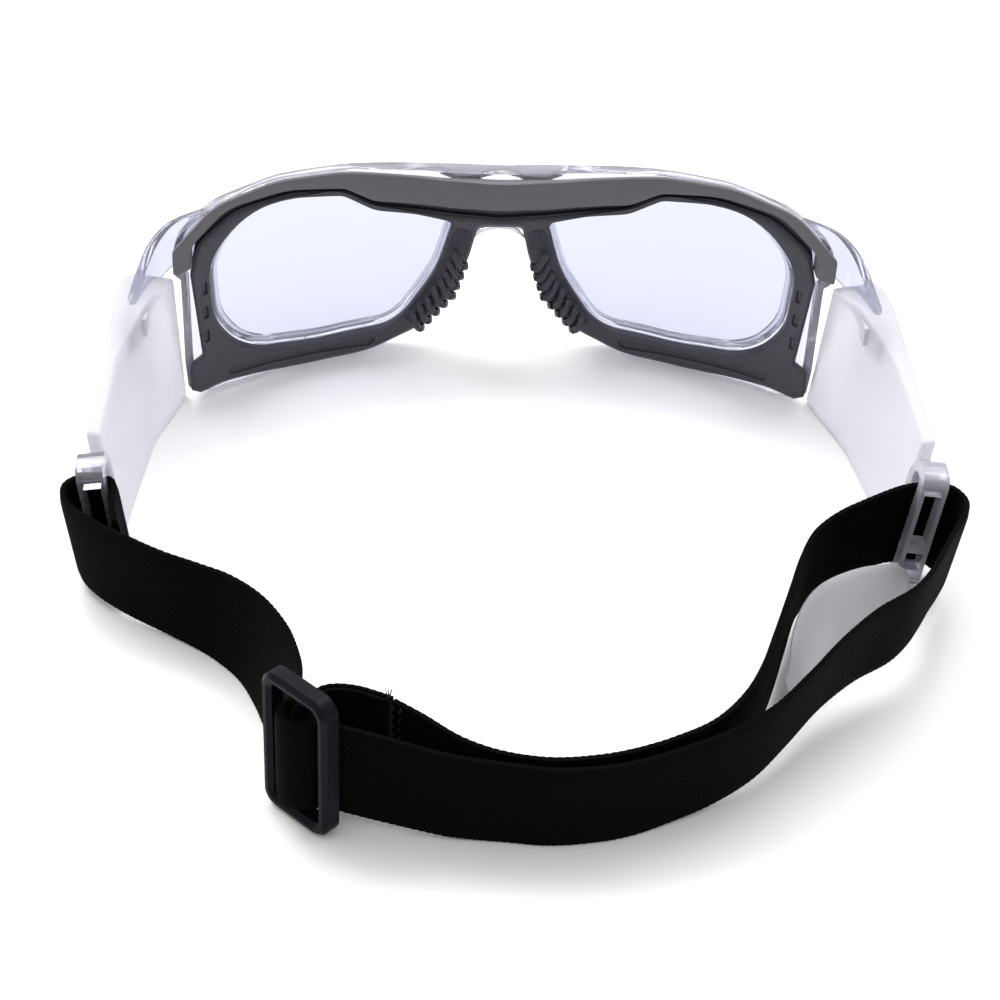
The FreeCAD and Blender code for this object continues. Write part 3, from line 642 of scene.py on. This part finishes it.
def end_band(word, side):
    """The clear end piece: one smooth strip from the frame's corner round into the silicone."""
    route, _ = smooth_route(END_BAND, 0.7)
    sections = []
    for i, (x, y, low, high) in enumerate(route):
        tx, ty = heading(route, i)
        ring = []
        for k in range(END_BAND_SIDES):
            a = 2 * math.pi * (k + 0.5) / END_BAND_SIDES
            off = END_BAND_HALF * max(-1, min(1, END_BAND_FLAT * math.sin(a)))
            rise = math.copysign(abs(math.cos(a)) ** END_BAND_CREST, math.cos(a))
            lift = (low + high) / 2 + (high - low) / 2 * rise
            ring.append(place(side * (x - ty * off), y + tx * off, lift))
        sections.append(ring)
    return loft("clear_end_" + word, sections, CLEAR_END, smooth=40)


for word, side in SIDES:
    strip = end_band(word, side)
    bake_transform(strip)
    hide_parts("temple_link_" + word)

# --- silicone sides ------------------------------------------------------------------------------
PAD_STATIONS = [   # y; inner x low and high; outer x low and high; inner and outer top
    (-24.8, 61.0, 61.0, 63.0, 63.6, 29.6, 29.8), (-29.5, 61.8, 61.4, 64.4, 68.6, 29.6, 30.6),
    (-34.0, 63.0, 62.2, 66.0, 71.2, 29.6, 31.0), (-39.0, 64.6, 65.4, 67.4, 71.8, 29.8, 30.6),
    (-45.0, 65.9, 66.8, 68.5, 72.0, 29.2, 29.8), (-56.0, 67.0, 69.8, 69.6, 72.5, 27.4, 27.8),
    (-67.0, 68.0, 70.4, 70.6, 73.0, 25.4, 25.7), (-75.6, 68.6, 70.9, 71.2, 73.6, 23.6, 24.0),
]
PAD_FRONT = -24.6           # the panel's front face at the table
PAD_FRONT_SLOPE = 7.2 / 33  # how far it falls back for each unit up
PAD_SLOPE_FROM, PAD_SLOPE_RISE = 1, 30
PAD_REAR = -75.5
PAD_ROWS = 34
PAD_HALF_RING = 8


def pad_values(y):
    """The panel's inner and outer x and its tops at a place along it, between the stations."""
    y = min(PAD_STATIONS[0][0], max(PAD_STATIONS[-1][0], y))
    for a, b in zip(PAD_STATIONS, PAD_STATIONS[1:]):
        if b[0] <= y <= a[0]:
            t = (a[0] - y) / (a[0] - b[0])
            return [p + (q - p) * t for p, q in zip(a[1:], b[1:])]
    return list(PAD_STATIONS[-1][1:])


def pad_section(share, side):
    """One ring of the side panel: up its inner face and down its outer, its plane tipped like the front."""
    ring = []
    up = [k / PAD_HALF_RING for k in range(PAD_HALF_RING + 1)]
    for face, t in [("in", t) for t in up] + [("out", t) for t in reversed(up)]:
        slope_y = PAD_FRONT - (t * PAD_SLOPE_RISE + PAD_SLOPE_FROM) * PAD_FRONT_SLOPE
        y = slope_y + (PAD_REAR - slope_y) * share
        in_low, in_high, out_low, out_high, in_top, out_top = pad_values(y)
        if face == "in":
            x, z = in_low + (in_high - in_low) * t, in_top * t
        else:
            x, z = out_low + (out_high - out_low) * t, out_top * t
        ring.append(place(side * x, y, z))
    return ring


for word, side in SIDES:
    shares = [(k / PAD_ROWS) ** 1.15 for k in range(PAD_ROWS + 1)]
    pad = loft("silicone_side_" + word, [pad_section(s, side) for s in shares], SILICONE)
    soften(pad, 0.7)
    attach(pad, "arm_" + word)
    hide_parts("temple_pad_" + word)

TIPS = {   # x, y of the tail's middle at the table; its top; its lean
    "right": [
        (69.5, -86.6, 3.8, 0.5), (67.7, -90.4, 7.6, 1.8), (63.4, -95.1, 10.0, 3.2), (58.6, -99.2, 11.0, 4.2),
        (54.4, -103.2, 11.4, 4.8), (51.9, -107.3, 11.2, 5.2), (50.0, -111.9, 10.2, 5.3),
        (47.9, -117.1, 8.2, 4.8), (44.9, -120.6, 5.4, 3.2),
    ],
    "left": [
        (66.8, -75.0, 1.8, 0.2), (65.6, -78.4, 2.4, 0.2), (64.3, -82.4, 3.8, 0.1), (63.2, -87.4, 5.4, 0.0),
        (60.6, -92.6, 6.2, 0.0), (56.2, -96.8, 6.6, 0.0), (51.0, -100.6, 6.4, 0.0), (46.6, -104.8, 5.6, 0.0),
        (43.4, -108.6, 3.8, 0.0),
    ],
}
TIP_FOOT, TIP_CREST = 1.1, 0.75     # half thickness at the table and along the top
TIP_SIDES = 20


def tip_mesh(word, side):
    """The soft tail behind the strap loop: a low leaning wall that thins towards both ends."""
    route, _ = smooth_route(TIPS[word], 1.4)
    sections = []
    for i, (x, y, top, lean) in enumerate(route):
        tx, ty = heading(route, i)
        share = i / (len(route) - 1)
        fade = min(1, 4 * (1 - share) + 0.25, 6 * share + 0.5)
        ring = []
        for k in range(TIP_SIDES):
            a = 2 * math.pi * k / TIP_SIDES
            up = 0.5 - 0.5 * math.cos(a)
            half = (TIP_FOOT + (TIP_CREST - TIP_FOOT) * up) * fade
            off = half * math.copysign(abs(math.sin(a)) ** 0.5, math.sin(a)) + lean * up
            ring.append(place(side * (x + ty * off), y - tx * off, top * up))
        sections.append(ring)
    return loft("silicone_tail_" + word, sections, SILICONE, smooth=50)


for word, side in SIDES:
    tail = tip_mesh(word, side)
    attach(tail, "arm_" + word)
    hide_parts("temple_tip_" + word)

# --- strap -----------------------------------------------------------------------------------------
STRAP_WIDTH = 16.8
STRAP_THICK = 1.4
STRAP_SPACING = 0.4         # between the webbing's sections
SLIDER_AT = (-35.0, -144.3)
SLIDER_ALONG = (0.70, -0.714)
SLIDER_BAR_RADIUS = 1.1
SLIDER_BAR_IN = 0.9         # the middle bar sits this far to the head's side


def at_slider(along, out):
    """A point in plan given from the slider's middle: along the strap, and outward of the head."""
    tx, ty = SLIDER_ALONG
    return (SLIDER_AT[0] + tx * along + ty * out, SLIDER_AT[1] + ty * along - tx * out)


# bottom edge of the webbing in order from the left loop: x, y, z low, lean x, lean y
STRAP = {
    "fold_left": [
        (-66.2, -92.6, 1.3, -1.0, 0), (-66.2, -89.6, 1.6, -1.6, 0), (-66.2, -86.4, 1.8, -2.0, 0),
        (-66.2, -83.3, 1.9, -2.1, 0), (-67.1, -81.0, 1.9, -2.1, 0), (-69.9, -80.5, 1.9, -2.1, 0),
        (-73.0, -81.0, 1.9, -2.2, 0), (-74.3, -83.4, 1.8, -2.4, 0), (-73.8, -87.2, 1.6, -2.2, 0),
        (-70.6, -91.6, 1.4, -1.4, 0),
    ],
    "left_run": [
        (-65.6, -95.8, 1.0, -0.6, 0), (-59.0, -100.0, 0.4, 0, 0), (-54.2, -103.2, 0.1, 1.2, 0.4),
        (-50.0, -106.8, 0, 2.4, 1.0), (-45.8, -112.0, 0, 3.6, 0.8), (-42.8, -118.8, 0.2, 4.6, 0.4),
        (-40.8, -125.4, 0.8, 4.6, 0.2), (-38.6, -132.0, 1.9, 3.4, 0),
    ],
    "outer_run": [
        at_slider(-5.9, -3.1) + (3.3, 1.4, 0), at_slider(-4.0, -1.9) + (3.8, 0.6, 0),
        at_slider(-3.1, 0.6) + (4.2, 0, 0), at_slider(-1.6, 2.4) + (4.4, 0, 0),
        at_slider(0, 2.9) + (4.4, 0, 0),
        at_slider(1.6, 2.4) + (4.4, 0, 0), at_slider(3.1, 0.6) + (4.2, 0, 0),
        at_slider(4.0, -1.9) + (3.8, 0, 0), at_slider(5.9, -3.1) + (3.2, 0, 0),
        (-24.3, -147.0, 2.3, 0, 0), (-18.6, -147.9, 1.3, 0, -0.4), (-12.6, -148.9, 0.5, 0, -0.8),
        (-4.8, -149.5, 0, 0, -1.4), (2.7, -150.3, 0, 0, -1.8), (10.2, -149.5, 0, 0.2, -2.0),
        (15.3, -148.1, 0, 0.4, -2.0), (21.5, -145.4, 0.3, 0.8, -2.2), (28.0, -142.3, 1.0, 1.2, -2.4),
        (34.7, -137.9, 2.2, 1.6, -2.6), (40.6, -131.6, 3.4, 1.9, -2.7), (47.0, -123.8, 4.3, 2.2, -2.6),
        (53.6, -117.4, 4.7, 2.2, -2.2), (60.6, -112.0, 4.5, 2.1, -1.8), (65.0, -106.4, 4.1, 2.0, -1.4),
        (69.8, -97.6, 3.2, 2.0, -0.8),
    ],
    "fold_right": [
        (74.0, -90.0, 2.6, 2.1, -0.3), (75.0, -86.2, 2.2, 2.3, 0), (74.5, -83.0, 2.0, 2.3, 0),
        (73.0, -81.0, 2.0, 2.2, 0), (69.9, -80.6, 2.0, 2.1, 0), (67.0, -81.1, 2.2, 2.1, 0),
    ],
    "inner_run": [
        (63.4, -83.2, 2.8, 2.4, 0), (58.4, -86.0, 2.4, 2.4, 0.2), (53.2, -89.4, 1.8, 2.0, 0.4),
        (49.2, -93.8, 1.4, 1.4, 0.4), (46.6, -98.6, 1.1, 1.2, 0.2), (43.4, -108.0, 0.9, 0.9, 0.1),
        (39.4, -119.6, 0.8, 0.6, 0), (35.9, -127.6, 0.7, 0.8, -0.6), (31.9, -133.9, 0.5, 1.0, -1.4),
        (26.6, -139.6, 0.3, 0.9, -1.8), (20.4, -143.2, 0.1, 0.6, -2.0), (14.6, -145.8, 0, 0.3, -1.9),
        (9.6, -147.3, 0, 0.1, -1.8), (2.6, -148.2, 0, 0, -1.6), (-4.6, -147.4, 0.1, 0, -1.2),
        (-11.0, -145.6, 0.8, 0, -0.6), (-17.0, -142.7, 2.4, 0, 0), (-21.0, -140.6, 3.4, 0, 0),
    ],
}
strap_points = []
first_of = {}
for name, run in STRAP.items():
    first_of[name] = len(strap_points)
    strap_points += run
strap_route, strap_marks = smooth_route(strap_points, STRAP_SPACING)


def mark(name, index):
    """Where a run's own point falls on the whole smooth route."""
    return strap_marks[first_of[name] + index]


SCALLOP_DEPTH = 0.16        # the selvedge's notches
SCALLOP_PITCH = 1.15
LEAST_MARGIN = 0.004        # share of the width that keeps the selvedge's rows apart
FACE_ROWS = 10
SELVEDGE_SHARE = 0.11       # outer rows that are a little thinner


def band_section(route, i, width, thick, travelled):
    """A woven band's section: flat faces, a soft rounded selvedge that scallops along its length."""
    x, y, z, lean_x, lean_y = route[i]
    z = max(z, 0)
    before, after = route[max(i - 1, 0)], route[min(i + 1, len(route) - 1)]
    across = Vector((after[1] - before[1], before[0] - after[0], 0)).normalized()
    up = Vector((lean_x, lean_y, width))
    scallop = SCALLOP_DEPTH * (1 - abs(math.sin(math.pi * travelled / SCALLOP_PITCH))) / width
    ring, columns = [], []
    for face in (1, -1):
        for k in range(FACE_ROWS + 1):
            t = k / FACE_ROWS if face > 0 else 1 - k / FACE_ROWS
            edge = min(t, 1 - t)
            v = min(max(t, scallop + LEAST_MARGIN), 1 - scallop - LEAST_MARGIN)
            n = thick / 2 * (0.62 if edge < 0.001 else 0.97 if edge < SELVEDGE_SHARE else 1.0)
            ring.append(place(*(Vector((x, y, z)) + up * v + across * n * face)))
            columns.append(t * width)
        ring.append(place(*(Vector((x, y, z)) + up * (1 - scallop if face > 0 else scallop))))
        columns.append(width if face > 0 else 0)
    return ring, columns


def band(name, route, first, last, width=STRAP_WIDTH, thick=STRAP_THICK):
    """The webbing between two points of a route, and its length."""
    rings = []
    lengths = [0.0]
    for i in range(first, last + 1):
        if i > first:
            lengths.append(lengths[-1] + math.dist(route[i][:2], route[i - 1][:2]))
        ring, columns = band_section(route, i, width, thick, lengths[-1])
        rings.append(ring)
    piece = loft(name, rings, WEBBING, smooth=50, uv=(lengths, columns))
    return piece, lengths[-1]


def lay_band(name, first, last, nodes, bodies):
    """One length of the strap: bodies is the body it rides; where it names two bodies and where a blend would
    start and end, these are not used and the piece stays fixed where it is drawn.
    """
    piece, length = band(name, strap_route, first, last)
    if len(bodies) == 1:
        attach(piece, bodies[0])
    else:
        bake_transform(piece)
    if nodes:
        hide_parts(*nodes)


seam_left = mark("left_run", 6)
kink_in, kink_out = mark("outer_run", 0), mark("outer_run", 8)
seam_outer = mark("outer_run", 13)
seam_inner = mark("inner_run", 13)
lay_band("strap_left_fold", 0, seam_left, ["strap_fold_left"],
         ("arm_left", "front", (-52, -104, 0), (-40.8, -125.4, 0)))
lay_band("strap_left_lead", seam_left, kink_in, ["strap_left_run"],
         ("slider", "front", (-37.6, -135, 0), (-40.8, -125.4, 0)))
lay_band("strap_through_slider", kink_in, kink_out, [], ("slider",))
lay_band("strap_back_lead", kink_out, seam_outer, [],
         ("slider", "front", (-25, -147, 0), (-1, -150, 0)))
lay_band("strap_right_turn", seam_outer, seam_inner, ["strap_outer_run", "strap_fold_right"],
         ("arm_right", "front", (42, -121, 0), (10, -148, 0)))
lay_band("strap_inner_lead", seam_inner, len(strap_route) - 1, ["strap_inner_run"],
         ("slider", "front", (-19, -141.6, 0), (2.4, -148.2, 0)))


# --- the sewn end ----------------------------------------------------------------------------------
SEAM = [(-33.6, -140.2), (-31.0, -137.8), (-27.0, -137.9), (-21.4, -140.4)]    # middle of the doubled end
SEAM_LOW = 3.8
LAYER_GAP = 0.5             # from that middle to each layer's
END_WIDTH = STRAP_WIDTH - 0.4
END_THICK = 0.95


def end_loop():
    """The sewn end's route: out along one layer, round the adjuster's bar and back along the other."""
    bar = Vector(at_slider(0, -SLIDER_BAR_IN))
    way = (Vector(SEAM[0]) - bar).normalized()
    outer, back = [], []
    for i, point in enumerate(SEAM):
        a = Vector(SEAM[i - 1]) if i else bar
        b = Vector(SEAM[min(i + 1, len(SEAM) - 1)])
        along = (b - a).normalized()
        normal = Vector((along.y, -along.x))
        outer.append(Vector(point) + normal * LAYER_GAP)
        back.append(Vector(point) - normal * LAYER_GAP)
    radius = SLIDER_BAR_RADIUS + 0.62
    start = math.atan2(way.y, way.x)
    turn = [bar + Vector((math.cos(start + a), math.sin(start + a))) * radius
            for a in (math.radians(d) for d in range(-50, -320, -30))]
    points = [(p.x, p.y, SEAM_LOW, 0, 0) for p in outer[::-1] + turn + back]
    return smooth_route(points, STRAP_SPACING)[0]


loop_route = end_loop()
loop_piece, loop_length = band("strap_sewn_end", loop_route, 0, len(loop_route) - 1, END_WIDTH, END_THICK)
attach(loop_piece, "slider")
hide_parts("strap_end_loop")

STITCH_FOOT = (-22.6, -140.6, 4.4)
STITCH_ALONG = Vector((0.914, -0.407, 0))      # along the webbing, from row to row
STITCH_ROWS, STITCH_ROW_GAP = 3, 1.3
STITCH_COUNT, STITCH_PITCH = 9, 1.72
STITCH_SHARE = 0.72         # of the pitch that a stitch covers
STITCH_LEAN = 0.35
STITCH_BULGE = 0.12
STITCH_RADIUS = 0.17
TUFT_HAIRS = 3
HAIR_RADIUS = 0.12


def stitch(foot):
    """A short raised bar of thread, upright on the band and leaning along it."""
    top = foot + Vector((0, 0, STITCH_PITCH * STITCH_SHARE)) + STITCH_ALONG * STITCH_LEAN
    middle = (foot + top) / 2 + Vector((STITCH_ALONG.y, -STITCH_ALONG.x, 0)) * STITCH_BULGE
    path = [place(*foot), place(*middle), place(*top)]
    return tube("stitch", path, STITCH_RADIUS / 1000, THREAD, 6, [0.7, 1, 0.7])


def seam_row(row):
    """One row of stitches up the webbing."""
    start = Vector(STITCH_FOOT) + STITCH_ALONG * (row * STITCH_ROW_GAP)
    return [stitch(start + Vector((0, 0, 1)) * (k * STITCH_PITCH)) for k in range(STITCH_COUNT)]


def hair(k):
    """A cut thread end that sticks up over the seam."""
    path = [place(-22 + 0.1 * k, -140.2, 19.6), place(-22.1 + 0.3 * k, -140.5 + 0.2 * k, 21.0),
            place(-22.3 + 0.5 * k, -140.4, 22.2)]
    return tube("hair", path, HAIR_RADIUS / 1000, THREAD, 5, [1, 0.9, 0.5])


seam_stitches = joined("seam_stitches", [bar for row in range(STITCH_ROWS) for bar in seam_row(row)])
tuft = joined("seam_tuft", [hair(k) for k in range(TUFT_HAIRS)])
for thread in (seam_stitches, tuft):
    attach(thread, "slider")

# --- carried-over parts ----------------------------------------------------------------------------
paint("strap_slider", ADJUSTER)
rounded_edges("strap_slider", 0.3)
for word in ("left", "right"):
    kept = (("lens_", LENS, 0.12), ("strap_loop_", LOOP[word], 0.35), ("link_stud_", STUD, 0.2))
    for node, surface, width in kept:
        paint(node + word, surface)
        rounded_edges(node + word, width)

# --- floor, light, camera --------------------------------------------------------------------------
FLOOR_HALF = 6.0            # metres
FLOOR_CLEARANCE = 0.0001

floor_data = bpy.data.meshes.new("floor")
floor_corners = [(x * FLOOR_HALF, y * FLOOR_HALF, 0) for x, y in ((-1, -1), (1, -1), (1, 1), (-1, 1))]
floor_data.from_pydata(floor_corners, [], [(0, 1, 2, 3)])
FLOOR_WHITE = material("floor_white", (0.93, 0.93, 0.935), rough=0.5, vary=0.01, grain=40, bump=0.0)
floor_data.materials.append(FLOOR_WHITE)
floor = bpy.data.objects.new("floor", floor_data)
floor.location.z = -FLOOR_CLEARANCE
bpy.context.collection.objects.link(floor)

# a bright ceiling over a dim room, dimmer behind the camera, with plain white where the camera looks
SKY_TILT = 0.3
SKY = {"From Min": -0.25, "From Max": 0.6, "To Min": 0.12, "To Max": 1.15}
SEEN_STRENGTH = 1.0

world = bpy.data.worlds.new("studio")
bpy.context.scene.world = world
world.use_nodes = True
tree = world.node_tree
sky = tree.nodes["Background"]
sky.inputs["Color"].default_value = (1.0, 1.0, 1.0, 1)
way = add(tree, "ShaderNodeTexCoord")
axes = add(tree, "ShaderNodeSeparateXYZ")
link(tree, way, "Generated", axes, "Vector")
tilt = add(tree, "ShaderNodeMath", operation="MULTIPLY_ADD")
tilt.inputs[1].default_value = SKY_TILT
link(tree, axes, "Y", tilt, 0)
link(tree, axes, "Z", tilt, 2)
ceiling = add(tree, "ShaderNodeMapRange", **SKY)
link(tree, tilt, 0, ceiling, "Value")
sight_line = add(tree, "ShaderNodeLightPath")
seen = add(tree, "ShaderNodeMix", data_type="FLOAT")
link(tree, sight_line, "Is Camera Ray", seen, MIX_FACTOR)
link(tree, ceiling, "Result", seen, FLOAT_A)
seen.inputs[FLOAT_B].default_value = SEEN_STRENGTH
link(tree, seen, FLOAT_RESULT, sky, "Strength")


def soft_light(name, at, size, power):
    """A square lamp in row-frame metres that faces the goggles."""
    data = bpy.data.lights.new(name, "AREA")
    data.size = size
    data.energy = power
    lamp = bpy.data.objects.new(name, data)
    bpy.context.collection.objects.link(lamp)
    lamp.location = at
    lamp.rotation_mode = "QUATERNION"
    lamp.rotation_quaternion = (-Vector(at)).to_track_quat("-Z", "Y")


soft_light("key", (-0.5, 0.55, 0.9), 0.6, 8)
soft_light("fill", (0.35, 0.45, 0.9), 0.6, 4.2)

CAMERA_AT = place(-23.84, -391.88, 233.12)
CAMERA_LENS = 79.38
CAMERA_SENSOR = 36
SWING, DIP, ROLL = math.radians(3.91), math.radians(35.03), math.radians(2.74)

ahead = Vector((math.sin(SWING) * math.cos(DIP), math.cos(SWING) * math.cos(DIP), -math.sin(DIP)))
level_right = Vector((math.cos(SWING), -math.sin(SWING), 0))
level_up = level_right.cross(ahead)
right = level_right * math.cos(ROLL) + level_up * math.sin(ROLL)
up = level_up * math.cos(ROLL) - level_right * math.sin(ROLL)
camera_data = bpy.data.cameras.new("camera")
camera_data.lens = CAMERA_LENS
camera_data.sensor_width = CAMERA_SENSOR
camera = bpy.data.objects.new("camera", camera_data)
bpy.context.collection.objects.link(camera)
turn = Matrix((right, up, -ahead)).transposed()
camera.matrix_world = Matrix.Translation(CAMERA_AT) @ turn.to_4x4()
bpy.context.scene.camera = camera
bpy.context.scene.view_settings.view_transform = "Standard"
